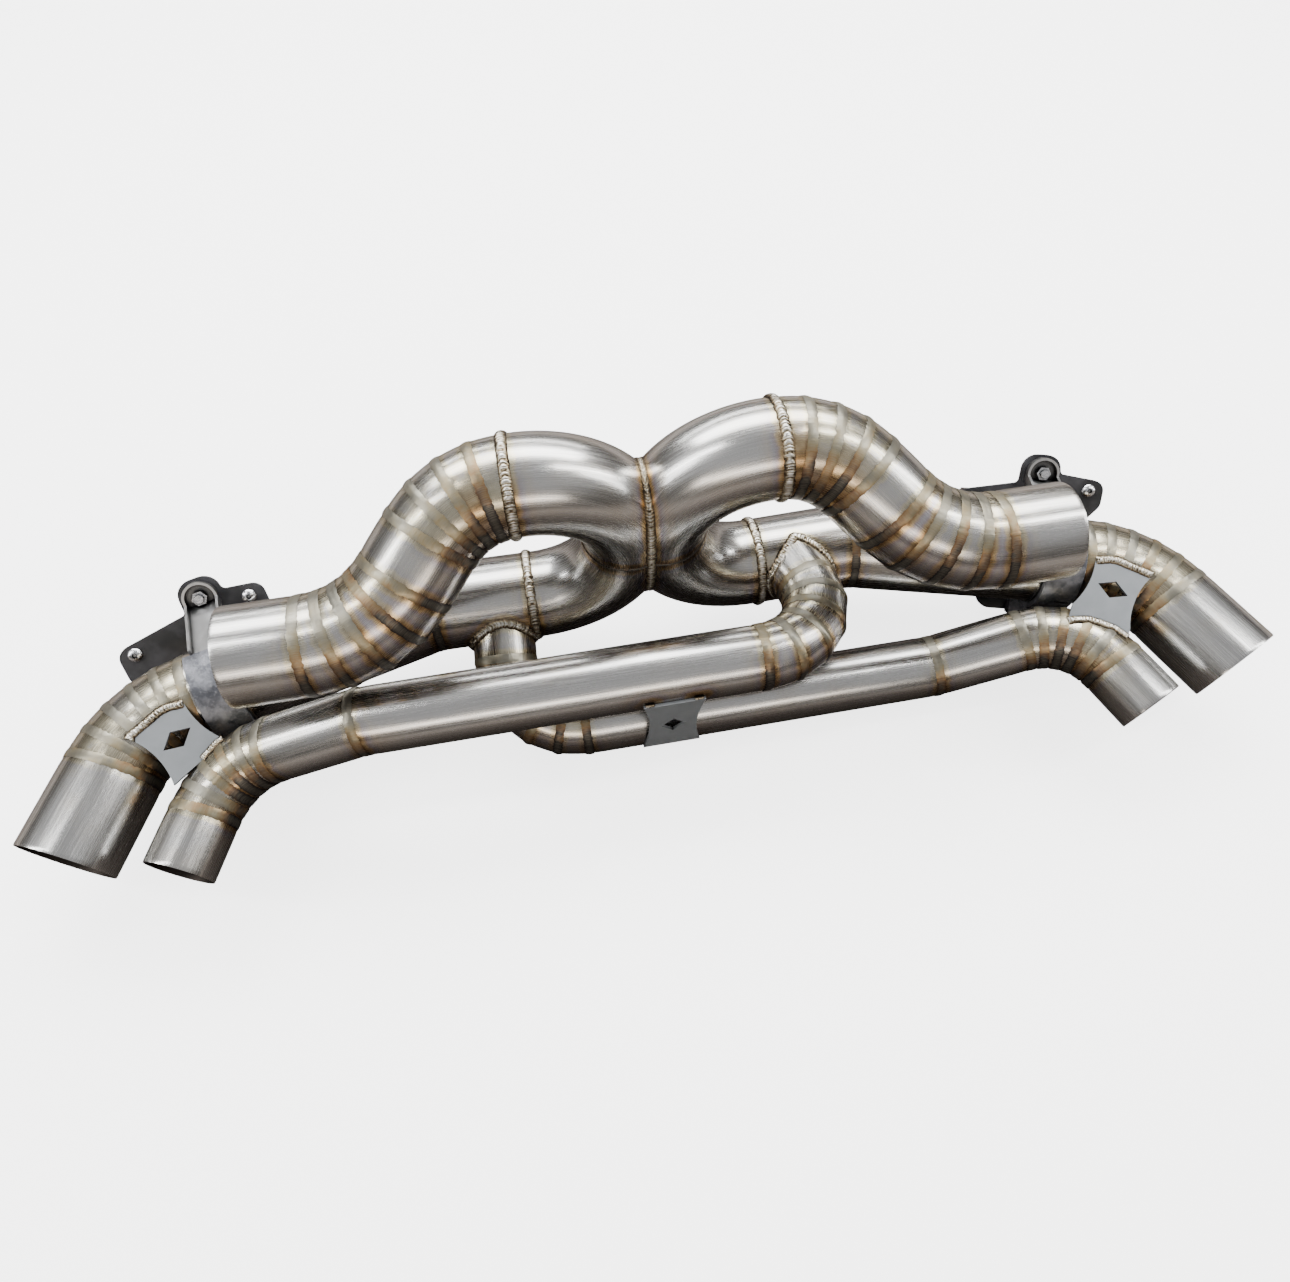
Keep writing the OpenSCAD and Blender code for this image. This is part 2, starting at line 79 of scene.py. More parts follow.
def merged(node):
    """A bmesh of a CAD node with its doubled vertices joined."""
    bm = bmesh.new()
    bm.from_mesh(NODES[node].data)
    bmesh.ops.remove_doubles(bm, verts=bm.verts, dist=SAME_POINT)
    bm.normal_update()
    return bm


def islands(bm):
    """The faces of each separate solid, as lists."""
    found, seen = [], set()
    for first in bm.faces:
        if first in seen:
            continue
        group, queue = [], [first]
        seen.add(first)
        while queue:
            face = queue.pop()
            group.append(face)
            for edge in face.edges:
                for other in edge.link_faces:
                    if other not in seen:
                        seen.add(other)
                        queue.append(other)
        found.append(group)
    return found


class Tube:
    """A straight tube solid: its axis, radii and the planes that its two ends lie in."""

    FIT_PASSES = 3
    WALL_LEAN = 0.1
    END_LEAN = 0.7
    UPRIGHT_LEAN = 0.2
    RIM_DEPTH = 0.6 * MM
    END_DEPTH = 4 * MM

    def __init__(self, node, faces):
        self.node = node
        normals = np.array([f.normal for f in faces])
        areas = np.array([f.calc_area() for f in faces])
        weights = areas
        for _ in range(self.FIT_PASSES):
            spread = (normals * weights[:, None]).T @ normals
            self.axis = np.linalg.eigh(spread)[1][:, 0]
            along = normals @ self.axis
            weights = areas * (np.abs(along) < self.WALL_LEAN)
        side = np.cross(self.axis, [0.0, 0.0, 1.0])
        if np.linalg.norm(side) < self.UPRIGHT_LEAN:
            side = np.cross(self.axis, [0.0, 1.0, 0.0])
        self.side = unit(side)
        self.up = np.cross(self.side, self.axis)
        verts = {v for f in faces for v in f.verts}
        points = np.array([v.co for v in verts])
        flat = np.stack([points @ self.side, points @ self.up], 1)
        middle = (flat.min(0) + flat.max(0)) / 2
        reach = np.linalg.norm(flat - middle, axis=1)
        rim = flat[reach > reach.max() - self.RIM_DEPTH]
        fit = np.linalg.lstsq(
            np.c_[2 * rim, np.ones(len(rim))], (rim ** 2).sum(1), rcond=None
        )[0]
        self.outer = math.sqrt(fit[2] + fit[0] ** 2 + fit[1] ** 2)
        mid = points.mean(0) @ self.axis
        self.centre = self.side * fit[0] + self.up * fit[1] + self.axis * mid
        self.wall = self.outer - np.linalg.norm(flat - fit[:2], axis=1).min()
        self.ends = []
        middles = np.array([f.calc_center_median() for f in faces])
        for sign in (-1, 1):
            far = sign * (middles @ self.axis)
            facing = sign * along > self.END_LEAN
            near_end = facing & (far > far[facing].max() - self.END_DEPTH)
            first = np.argmax(areas * near_end)
            level = (middles - middles[first]) @ normals[first]
            cap = near_end & (np.abs(level) < SAME_PLANE)
            normal = unit((normals[cap] * areas[cap][:, None]).sum(0))
            self.ends.append((self.on_axis(middles[first], normal), normal))

    def on_axis(self, point, normal):
        """Where the axis crosses the plane through point."""
        return self.centre + self.axis * ((point - self.centre) @ normal / (self.axis @ normal))

    def outward(self, points):
        """Unit vectors from the axis to each point."""
        arm = points - self.centre
        return unit(arm - np.outer(arm @ self.axis, self.axis))

    def grain(self, points):
        """Coordinates across (two) and along (one) the tube."""
        arm = points - self.centre
        return np.stack([arm @ self.side, arm @ self.up, arm @ self.axis], 1)

    def past_wall(self, point):
        """How far a point lies outside the outer wall, below 0 inside it, and past the ends."""
        past_ends = sum(max((point - end) @ normal, 0.0) for end, normal in self.ends)
        return np.linalg.norm(self.grain(point[None])[0, :2]) - self.outer, past_ends

    def ring(self, end, radius, count):
        """Points around an end at a radius, the way out to each, and its place along the axis."""
        angle = np.linspace(0, 2 * math.pi, count, endpoint=False)
        arm = np.outer(np.cos(angle), self.side) + np.outer(np.sin(angle), self.up)
        point, normal = self.ends[end]
        along = (point - self.centre) @ self.axis - radius * (arm @ normal) / (self.axis @ normal)
        return self.centre + radius * arm + np.outer(along, self.axis), arm, along


class Elbow:
    """A quarter of the junction: a bent tube around a centre, in the plane of X and Z."""

    def __init__(self, node):
        self.node = node
        low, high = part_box(node)
        self.sign = 1 if high.x > -low.x else -1
        self.outer = (high.y - low.y) / 2
        floor = low.z if "upper" in node else high.z
        self.bend = high.z - low.z - self.outer
        self.wall = TUBE_WALL
        flat = [v.co for v in NODES[node].data.vertices if abs(v.co.z - floor) < SAME_PLANE / 2]
        reach = max(abs(co.x) for co in flat)
        self.centre = np.array([
            self.sign * (reach + self.bend - self.outer), (high.y + low.y) / 2, floor
        ])

    def core(self, points):
        """The nearest point of the centreline to each point."""
        arm = (points - self.centre) * [1, 0, 1]
        near = self.centre + unit(arm) * self.bend
        straight = self.sign * (points[:, 0] - self.centre[0]) > 0
        near[straight, 0] = points[straight, 0]
        near[straight, 2] = self.centre[2] + np.sign(arm[straight, 2]) * self.bend
        return near

    def outward(self, points):
        """Unit vectors from the centreline to each point."""
        return unit(points - self.core(points))

    def grain(self, points):
        """Coordinates across (two) and along (one) the elbow."""
        arm = points - self.centre
        turn = np.arctan2(np.abs(arm[:, 0]), np.abs(arm[:, 2]))
        across = np.linalg.norm(arm * [1, 0, 1], axis=1) - self.bend
        return np.stack([across, arm[:, 1], turn * self.bend], 1)


def read_tubes(node):
    """The straight tubes that a CAD node is made of."""
    bm = merged(node)
    tubes = [Tube(node, faces) for faces in islands(bm)]
    bm.free()
    return tubes


PAIRED_TUBES = ("s_bend", "inlet_pipe", "rear_pipe", "hanger_pipe", "outer_bend", "outer_tip",
                "branch_stub", "branch_elbow", "crossover_end", "inner_bend", "inner_tip")
TUBE_NODES = [f"{kind}_{name}" for kind in PAIRED_TUBES for name in SIDES]
TUBE_NODES += ["crossover_tube_upper", "crossover_tube_lower"]
TUBES = {node: read_tubes(node) for node in TUBE_NODES}
TUBE_WALL = TUBES["rear_pipe_left"][0].wall
ELBOWS = {
    f"{level}_elbow_{name}": Elbow(f"{level}_elbow_{name}")
    for level in ("upper", "lower") for name in SIDES
}
JUNCTION = ELBOWS["upper_elbow_left"].centre * [0, 1, 1]
RING_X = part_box("upper_elbow_right")[1].x


# ---------------------------------------------------------------- mesh helpers

def link(name, data):
    """A new object in the scene that holds a mesh, a lamp or a camera."""
    obj = bpy.data.objects.new(name, data)
    bpy.context.scene.collection.objects.link(obj)
    return obj


def new_object(name, verts, faces, smooth=True):
    """An object with a mesh made of points and faces."""
    mesh = bpy.data.meshes.new(name)
    mesh.from_pydata([tuple(v) for v in verts], [], [tuple(f) for f in faces])
    mesh.validate()
    if smooth:
        mesh.shade_smooth()
    else:
        mesh.shade_flat()
    return link(name, mesh)


def set_values(obj, name, values):
    """Stores a value, or a vector, for each point of a mesh."""
    values = np.asarray(values, np.float32)
    kind = "FLOAT_VECTOR" if values.ndim == 2 else "FLOAT"
    layer = obj.data.attributes.new(name, kind, "POINT")
    layer.data.foreach_set("vector" if values.ndim == 2 else "value", values.ravel())


def points_of(obj):
    """The points of an object's mesh, one in each row."""
    co = np.zeros(len(obj.data.vertices) * 3, np.float32)
    obj.data.vertices.foreach_get("co", co)
    return co.reshape(-1, 3).astype(float)


def grid_faces(rows, columns, close_rows, close_columns):
    """Quads over a grid of points, closed round either way."""
    r = np.arange(rows if close_rows else rows - 1)
    c = np.arange(columns if close_columns else columns - 1)
    r, c = (a.ravel() for a in np.meshgrid(r, c, indexing="ij"))
    r2, c2 = (r + 1) % rows, (c + 1) % columns
    return np.stack([r * columns + c, r * columns + c2, r2 * columns + c2, r2 * columns + c], 1)


def noise_1d(count, waves, seed):
    """A smooth closed random line with values from about -1 to 1."""
    rng = np.random.default_rng(seed)
    x = np.linspace(0, 2 * math.pi, count, endpoint=False)
    total = np.zeros(count)
    for k in range(1, waves + 1):
        total += rng.normal() / math.sqrt(waves) * np.sin(k * x + rng.uniform(0, 2 * math.pi))
    return total


# ---------------------------------------------------------------- welds

class Style:
    """How a bead is laid. Lengths come in as millimetres and are kept as metres."""

    def __init__(self, width, height, ripple, pitch, bow=1.0, across=10, sink=0.35):
        self.width, self.height, self.ripple = width * MM, height * MM, ripple * MM
        self.pitch, self.sink = pitch * MM, sink * MM
        self.bow, self.across = bow, across
        self.steps_a_ripple = 6 if self.ripple > 0.2 * MM else 4


FLAT = Style(width=9, height=0.3, ripple=0.08, pitch=1.7, bow=0.5, across=8, sink=0.1)
RAISED = Style(width=10.5, height=2.1, ripple=1.0, pitch=3.2, bow=0.9)
THIN = Style(width=3.2, height=0.7, ripple=0.15, pitch=1.6, bow=0.4, across=6)
TACK = Style(width=4.5, height=1.3, ripple=0.3, pitch=2.0, bow=0.6)
SADDLE = Style(width=11, height=3.0, ripple=1.0, pitch=3.0, bow=0.9, across=12)
EDGE = Style(width=9, height=2.4, ripple=0.9, pitch=3.0, bow=0.9, across=12)

# The number of waves along a bead and the size of each unevenness.
WANDER = (40, 0.06)
SWELL = (60, 0.08)
SHIFT = (80, 0.35)
MOOD = 0.35
RIPPLE_POWER = 2.5
DOME_POWER = 2.2
END_SINK = 0.3 * MM
WELD_POINT_STEP = 1.5 * MM
# The way towards the light. How far a surface faces away from it is stored on skins and beads, and
# the tube and band materials paint shade from it.
LIT = unit(np.array([0.0, 0.45, 0.9]))
WELD_POINTS = []
BEADS = []


def path_length(path, closed):
    """The length of a path through points, back to its start if it is closed."""
    ends = np.vstack([path, path[:1]]) if closed else path
    return np.linalg.norm(np.diff(ends, axis=0), axis=1).sum()


def resample(path, walls, step, closed):
    """Points at even steps along a path, with the wall vectors carried along."""
    data = np.hstack([path] + list(walls))
    if closed:
        data = np.vstack([data, data[:1]])
    gaps = np.linalg.norm(np.diff(data[:, :3], axis=0), axis=1)
    arc = np.concatenate([[0], np.cumsum(gaps)])
    count = max(int(round(arc[-1] / step)), 8)
    at = np.linspace(0, arc[-1], count, endpoint=not closed)
    data = np.stack([np.interp(at, arc, column) for column in data.T], 1)
    return data[:, :3], [data[:, i:i + 3] for i in range(3, data.shape[1], 3)], at, arc[-1]


def over_wall(tangent, out, towards):
    """Unit vectors over a wall, square to a path along it, on the side that towards points to."""
    into = unit(np.cross(tangent, out))
    return into * np.sign((into * towards).sum(1))[:, None]


def loop_tangent(path):
    """Unit vectors along a closed path."""
    return unit(np.roll(path, -1, axis=0) - np.roll(path, 1, axis=0))


def face_outwards(obj, out):
    """Turns a strip's faces over if they look into the metal."""
    mesh = obj.data
    mesh.update()
    samples = list(mesh.polygons)[:: max(1, len(mesh.polygons) // 200)]
    if sum(Vector(out[poly.vertices[0]]).dot(poly.normal) for poly in samples) < 0:
        mesh.flip_normals()


def bead(name, path, out_a, into_a, out_b, into_b, style, material, closed=True, seed=0):
    """A weld bead along a path between wall a and wall b.

    out is each wall's outward normal at the path and into points from the path over the wall.
    """
    length = path_length(path, closed)
    ripples = max(int(round(0.5 + length / style.pitch)), 3)
    step = length / ripples / style.steps_a_ripple
    path, walls, at, total = resample(path, (out_a, into_a, out_b, into_b), step, closed)
    out_a, into_a, out_b, into_b = (unit(w) for w in walls)
    WELD_POINTS.append(path[:: max(1, int(WELD_POINT_STEP / step))])
    count = len(path)
    wander, swell, shift = (
        noise_1d(count, waves, seed + number) * size
        for number, (waves, size) in enumerate((WANDER, SWELL, SHIFT), 1)
    )
    mood = np.random.default_rng(seed + 4).uniform(-MOOD, MOOD)
    taper = 1.0
    if not closed:
        taper = np.clip(np.minimum(at, total - at) / (style.width / 3), 0, 1) ** 0.5
    verts, crest, low = [], [], []
    for t in np.linspace(-1, 1, style.across + 1):
        into, share = (into_a, -t) if t < 0 else (into_b, t)
        out = unit(out_a * (1 - t) / 2 + out_b * (1 + t) / 2)
        reach = style.width / 2 * (share * (1 + swell) + wander * (1 - share) * np.sign(t))
        phase = at / total * ripples + shift + style.bow * t * t
        wave = 1 - np.abs(2 * (phase % 1) - 1) ** RIPPLE_POWER
        dome = 1 - abs(t) ** DOME_POWER
        height = style.height * dome * (1 + swell) + style.ripple * (wave - 0.5) * dome ** 0.5
        height = height * taper - (style.sink * (1 - dome) + END_SINK * (1 - taper))
        verts.append(path + into * reach[:, None] + out * height[:, None])
        crest.append(wave * dome)
        # How far each point faces away from the light, shifted at random for each bead; the band
        # material paints shade from it.
        low.append(-out @ LIT + mood)
    across = style.across + 1
    verts = np.stack(verts, 1).reshape(-1, 3)
    obj = new_object(name, verts, grid_faces(count, across, closed, False))
    face_outwards(obj, np.repeat(out_a + out_b, across, 0))
    set_values(obj, "crest", np.stack(crest, 1).ravel())
    set_values(obj, "away_from_light", np.stack(low, 1).ravel())
    obj.data.materials.append(material)
    BEADS.append(obj)


# ---------------------------------------------------------------- materials

class Nodes:
    """A short way to write a material's nodes. Each call adds a node and gives its output."""

    def __init__(self, name):
        self.material = bpy.data.materials.new(name)
        self.material.use_nodes = True
        self.tree = self.material.node_tree
        self.shader = self.tree.nodes["Principled BSDF"]

    def add(self, kind, inputs=None, **settings):
        made = self.tree.nodes.new(kind)
        for key, value in settings.items():
            setattr(made, key, value)
        for key, value in (inputs or {}).items():
            self.put(made.inputs[key], value)
        return made

    def put(self, socket, value):
        if isinstance(value, bpy.types.NodeSocket):
            self.tree.links.new(value, socket)
        else:
            socket.default_value = value

    def set(self, **inputs):
        for key, value in inputs.items():
            self.put(self.shader.inputs[key.replace("_", " ").title().replace("Ior", "IOR")], value)

    def attribute(self, name, vector=False):
        made = self.add("ShaderNodeAttribute", attribute_name=name)
        return made.outputs["Vector" if vector else "Fac"]

    def math(self, operation, a, b=0.0, clamp=False):
        made = self.add("ShaderNodeMath", {0: a, 1: b}, operation=operation, use_clamp=clamp)
        return made.outputs[0]

    def vary(self, value, size):
        """A noise value moved to swing about 0, by half the size each way."""
        return self.math("MULTIPLY", self.math("SUBTRACT", value, 0.5), size)

    def place(self):
        """Object coordinates, in metres."""
        return self.add("ShaderNodeTexCoord").outputs["Object"]

    def scale(self, vector, factors):
        made = self.add("ShaderNodeVectorMath", {0: vector, 1: factors}, operation="MULTIPLY")
        return made.outputs[0]

    def noise(self, vector, scale, detail=2.0, roughness=0.5):
        made = self.add("ShaderNodeTexNoise", {
            "Vector": vector, "Scale": scale, "Detail": detail, "Roughness": roughness})
        return made.outputs["Fac"]

    def spread(self, value, low, high, to_low=0.0, to_high=1.0, smooth=True):
        made = self.add("ShaderNodeMapRange", {
            "Value": value, "From Min": low, "From Max": high, "To Min": to_low, "To Max": to_high})
        made.interpolation_type = "SMOOTHSTEP" if smooth else "LINEAR"
        return made.outputs["Result"]

    def mix(self, factor, a, b, blend="MIX"):
        made = self.add("ShaderNodeMix", data_type="RGBA", blend_type=blend)
        self.put(made.inputs["Factor"], factor)
        self.put(made.inputs["A"], a)
        self.put(made.inputs["B"], b)
        return made.outputs["Result"]

    def ramp(self, value, stops):
        made = self.add("ShaderNodeValToRGB", {"Fac": value})
        set_stops(made.color_ramp.elements, stops)
        return made.outputs["Color"]

    def painted_crevice_shade(self, color, reach_mm, low=0.35, high=0.95):
        """The colour with painted shade: darker where the surface lies in a corner or a hollow."""
        made = self.add("ShaderNodeAmbientOcclusion", {"Distance": reach_mm * MM})
        return self.mix(self.spread(made.outputs["AO"], low, high), CREVICE_SHADE, color)

    def bump(self, height, strength, distance, normal=None):
        made = self.add("ShaderNodeBump", {
            "Height": height, "Strength": strength, "Distance": distance})
        if normal is not None:
            self.put(made.inputs["Normal"], normal)
        return made.outputs["Normal"]


def rgb(r, g, b):
    """A solid colour."""
    return (r, g, b, 1.0)


def set_stops(elements, stops):
    """Gives a ramp its colours, as pairs of a position and a colour in rising order."""
    for element, (position, color) in zip(elements, (stops[0], stops[-1])):
        element.position = position
        element.color = rgb(*color)
    for position, color in stops[1:-1]:
        elements.new(position).color = rgb(*color)


# The colour of the painted shade in corners and hollows.
CREVICE_SHADE = rgb(0.02, 0.02, 0.02)
TINT_REACH_MM = 30.0
# Heat tints of the tube from the weld outwards, on the side that faces the light and on the side
# that faces away from it; the second set is darker and browner, as painted shade.
LIT_SIDE_HEAT_TINTS = [
    (0.0, (0.36, 0.33, 0.26)), (0.17, (0.50, 0.46, 0.34)), (0.26, (0.68, 0.62, 0.46)),
    (0.36, (0.58, 0.56, 0.54)), (0.55, (0.67, 0.64, 0.57)), (1.0, (0.62, 0.61, 0.59))]
SHADED_SIDE_HEAT_TINTS = [
    (0.0, (0.13, 0.085, 0.05)), (0.17, (0.34, 0.22, 0.11)), (0.26, (0.56, 0.42, 0.24)),
    (0.36, (0.44, 0.38, 0.40)), (0.45, (0.48, 0.46, 0.48)), (0.6, (0.60, 0.53, 0.45)),
    (1.0, (0.58, 0.55, 0.51))]
# Tints of a flat band from the side that faces the light to the side that faces away: straw and
# copper oxide, darkening to black as painted shade.
BAND_TINTS_WITH_PAINTED_SHADE = [
    (0.0, (0.27, 0.26, 0.22)), (0.22, (0.29, 0.265, 0.20)), (0.36, (0.30, 0.245, 0.145)),
    (0.50, (0.27, 0.165, 0.075)), (0.60, (0.15, 0.085, 0.045)), (0.72, (0.028, 0.024, 0.024))]
# Tints of a raised bead from its hollows to its crests: gold and brown oxide, with painted shade in
# the hollows and a painted highlight on the crests.
BEAD_TINTS_WITH_PAINTED_LIGHT = [
    (0.0, (0.03, 0.024, 0.018)), (0.3, (0.16, 0.12, 0.075)), (0.55, (0.42, 0.37, 0.27)),
    (0.8, (0.64, 0.61, 0.54)), (1.0, (0.86, 0.84, 0.80))]


def titanium():
    """Satin brushed tube with heat tints beside the welds, painted shade on the side that faces
    away from the light and between tubes, and near-black bores.
    """
    n = Nodes("titanium")
    grain = n.attribute("grain", vector=True)
    tone = n.attribute("tone")
    inside = n.attribute("inside")
    fine = n.noise(n.scale(grain, (1400.0, 1400.0, 24.0)), 1.0, 3.0)
    broad = n.noise(n.scale(grain, (55.0, 55.0, 7.0)), 1.0, 2.0)
    cloudy = n.noise(n.scale(grain, (22.0, 22.0, 18.0)), 1.0, 3.0)
    wander = n.noise(n.scale(grain, (120.0, 120.0, 60.0)), 1.0, 3.0)
    weld_mm = n.math("MULTIPLY", n.attribute("weld"), 1 / MM)
    shifted = n.math("ADD", weld_mm, n.vary(wander, 9.0))
    share = n.math("DIVIDE", shifted, TINT_REACH_MM, clamp=True)
    # Painted shade: the heat tints turn darker and browner where the tube faces away from the
    # light.
    side = n.math("ADD", n.attribute("away_from_light"), n.vary(tone, 0.7))
    tint = n.mix(n.spread(side, -0.75, 0.0), n.ramp(share, LIT_SIDE_HEAT_TINTS), n.ramp(share, SHADED_SIDE_HEAT_TINTS))
    plain = n.mix(broad, rgb(0.60, 0.595, 0.58), rgb(0.69, 0.685, 0.67))
    warm = n.mix(n.spread(cloudy, 0.45, 0.75), plain, rgb(0.63, 0.60, 0.55))
    patch = n.spread(n.math("ADD", cloudy, n.math("MULTIPLY", tone, 0.35)), 0.35, 0.75, 0.35, 1.0)
    near = n.math("MULTIPLY", n.spread(shifted, 7.0, TINT_REACH_MM, 1.0, 0.0), patch)
    metal = n.mix(near, warm, tint)
    # Painted shade: a random tone for each slice, darkened to half where the tube faces away from
    # the light.
    shade = n.math("ADD", n.math("MULTIPLY", tone, 0.14), 0.90)
    shade = n.math("MULTIPLY", shade, n.spread(n.attribute("away_from_light"), 0.05, 0.75, 1.0, 0.5))
    grey = n.add("ShaderNodeCombineColor", {0: shade, 1: shade, 2: shade}).outputs[0]
    # Painted shade in corners and between tubes.
    metal = n.painted_crevice_shade(n.mix(1.0, metal, grey, "MULTIPLY"), reach_mm=45.0, low=0.1, high=0.5)
    # Near-black colour of the bore walls.
    bore_dark = n.mix(cloudy, rgb(0.035, 0.030, 0.027), rgb(0.09, 0.075, 0.065))
    rough = n.math("ADD", n.spread(fine, 0.3, 0.7, 0.20, 0.30), n.math("MULTIPLY", inside, 0.25))
    n.set(metallic=1.0, base_color=n.mix(inside, metal, bore_dark), roughness=rough)
    n.set(normal=n.bump(fine, 0.05, 0.3 * MM, n.bump(broad, 0.06, 1.5 * MM)))
    return n.material


def flat_weld():
    """Smooth fusion band of a pie cut: straw oxide where it faces the light, with painted shade
    going copper to black where it faces away, and a faint painted highlight on its ripples.
    """
    n = Nodes("flat_weld")
    place = n.place()
    patch = n.noise(place, 70.0, 3.0)
    # Painted shade: the band darkens where it faces away from the light.
    side = n.math("ADD", n.attribute("away_from_light"), n.vary(patch, 1.4))
    color = n.ramp(n.spread(side, -1.2, 0.6, smooth=False), BAND_TINTS_WITH_PAINTED_SHADE)
    # Painted highlight: the ripple crests a little paler.
    color = n.mix(n.math("MULTIPLY", n.attribute("crest"), 0.25), color, rgb(0.46, 0.43, 0.34))
    n.set(metallic=0.9, base_color=color, roughness=n.spread(patch, 0.3, 0.7, 0.32, 0.48))
    n.set(normal=n.bump(n.noise(place, 900.0), 0.15, 0.3 * MM))
    return n.material


def bead_weld():
    """Raised rippled bead: gold oxide, with painted silver and cream highlights on its crests and
    painted shade in its hollows.
    """
    n = Nodes("bead_weld")
    place = n.place()
    patch = n.noise(place, 90.0, 3.0)
    # Painted light: dark painted shade in the ripple hollows, a pale painted highlight on the
    # crests.
    color = n.ramp(n.math("ADD", n.attribute("crest"), n.vary(patch, 0.5)), BEAD_TINTS_WITH_PAINTED_LIGHT)
    n.set(metallic=1.0, base_color=color, roughness=n.spread(patch, 0.3, 0.7, 0.26, 0.42))
    n.set(normal=n.bump(n.noise(place, 1100.0, 3.0), 0.35, 0.4 * MM))
    return n.material


def blasted():
    """Fine bead-blasted titanium of the gussets, its grey darkened in part as painted shade, with
    painted shade in its corners too.
    """
    n = Nodes("blasted")
    place = n.place()
    fine = n.noise(place, 2600.0)
    cloud = n.noise(place, 60.0, 3.0)
    # Partly painted shade: a grey darker than bare blasted titanium, for gussets that sit in shade.
    color = n.mix(cloud, rgb(0.19, 0.203, 0.212), rgb(0.255, 0.268, 0.28))
    n.set(metallic=0.6, base_color=n.painted_crevice_shade(color, reach_mm=8.0), roughness=0.55)
    n.set(normal=n.bump(fine, 0.35, 0.2 * MM))
    return n.material


def casting():
    """Rough cast clamp saddle, with painted shade in its corners."""
    n = Nodes("casting")
    place = n.place()
    lumps = n.noise(place, 260.0, 4.0, 0.6)
    cloud = n.noise(place, 75.0, 3.0)
    color = n.mix(n.spread(cloud, 0.35, 0.65), rgb(0.11, 0.115, 0.13), rgb(0.25, 0.255, 0.28))
    color = n.mix(n.math("MULTIPLY", n.spread(lumps, 0.5, 0.7), 0.35), color, rgb(0.42, 0.42, 0.44))
    n.set(metallic=0.8, base_color=n.painted_crevice_shade(color, reach_mm=6.0))
    n.set(roughness=n.spread(lumps, 0.3, 0.7, 0.36, 0.58))
    n.set(normal=n.bump(lumps, 0.5, 1.2 * MM, n.bump(cloud, 0.3, 2.0 * MM)))
    return n.material


def steel(name, base, low, high, streaks):
    """Satin or bright plain metal with faint drawn streaks, painted shade in its corners, and a
    roughness from low to high.
    """
    n = Nodes(name)
    place = n.place()
    fine = n.noise(n.scale(place, streaks), 1.0, 3.0)
    cloud = n.noise(place, 110.0)
    color = n.mix(cloud, rgb(*(0.82 * c for c in base)), rgb(*base))
    n.set(metallic=1.0, base_color=n.painted_crevice_shade(color, reach_mm=12.0))
    n.set(roughness=n.spread(fine, 0.3, 0.7, low, high))
    n.set(normal=n.bump(fine, 0.12, 0.3 * MM))
    return n.material


def black_coat():
    """Satin black coating, a little worn towards grey."""
    n = Nodes("black_coat")
    place = n.place()
    fine = n.noise(place, 1500.0)
    cloud = n.noise(place, 45.0, 4.0)
    color = n.mix(n.spread(cloud, 0.4, 0.75), rgb(0.014, 0.014, 0.016), rgb(0.045, 0.045, 0.05))
    n.set(metallic=0.0, base_color=color, roughness=n.spread(cloud, 0.3, 0.7, 0.36, 0.52))
    n.set(normal=n.bump(fine, 0.3, 0.2 * MM))
    return n.material


TITANIUM = titanium()
FLAT_WELD = flat_weld()
BEAD_WELD = bead_weld()
BLASTED = blasted()
CASTING = casting()
PRESSED = steel("pressed_steel", (0.56, 0.56, 0.555), 0.28, 0.42, (300.0, 60.0, 60.0))
LINER = steel("liner_steel", (0.80, 0.77, 0.71), 0.16, 0.28, (60.0, 400.0, 400.0))
ZINC = steel("zinc", (0.84, 0.85, 0.87), 0.14, 0.30, (500.0, 500.0, 500.0))
BLACK = black_coat()


# ---------------------------------------------------------------- seams between tubes

SEAM_GAP = 1.5 * MM
GUSSET_GAP = 0.8 * MM
FOOT_GAP = 3 * MM
RIM_DEPTH = 0.3 * MM
RING_AROUND = 120


def seam_list():
    """Each place where a tube ends, as the tube, which of its ends, and its partner or None."""
    ends = [(tube, end) for group in TUBES.values() for tube in group for end in (0, 1)]
    used, found = set(), []
    for tube, end in ends:
        if (tube, end) in used:
            continue
        used.add((tube, end))
        partner = None
        for other, other_end in ends:
            gap = np.linalg.norm(other.ends[other_end][0] - tube.ends[end][0])
            if (other, other_end) not in used and gap < SEAM_GAP:
                partner = other
                used.add((other, other_end))
        found.append((tube, end, partner))
    return found


def lay_butt_welds():
    """The ring welds on the junction, and a flat band wherever two tubes meet end to end."""
    for number, (tube, end, partner) in enumerate(seam_list()):
        point, normal = tube.ends[end]
        ring = abs(abs(point[0]) - RING_X) < 1 * MM and partner is None
        if partner is None and not ring:
            continue
        path, out_a, _ = tube.ring(end, tube.outer, RING_AROUND)
        tangent = unit(np.cross(out_a, normal))
        into_a = over_wall(tangent, out_a, -normal)
        if ring:
            out_b, into_b = out_a, -into_a
        else:
            out_b = partner.outward(path)
            into_b = over_wall(tangent, out_b, normal)
        style, material = (RAISED, BEAD_WELD) if ring else (FLAT, FLAT_WELD)
        bead(f"weld_{number:02d}", path, out_a, into_a, out_b, into_b, style, material,
             seed=number * 7)


def elbow_rim(node, column, value):
    """The points of an elbow's outer edge in the plane where a coordinate has a value."""
    elbow = ELBOWS[node]
    points = np.unique(np.round(points_of(NODES[node]), 7), axis=0)
    depth = np.linalg.norm(points - elbow.core(points), axis=1)
    in_plane = np.abs(points[:, column] - value) < SAME_PLANE
    return points[in_plane & (depth > elbow.outer - RIM_DEPTH)]


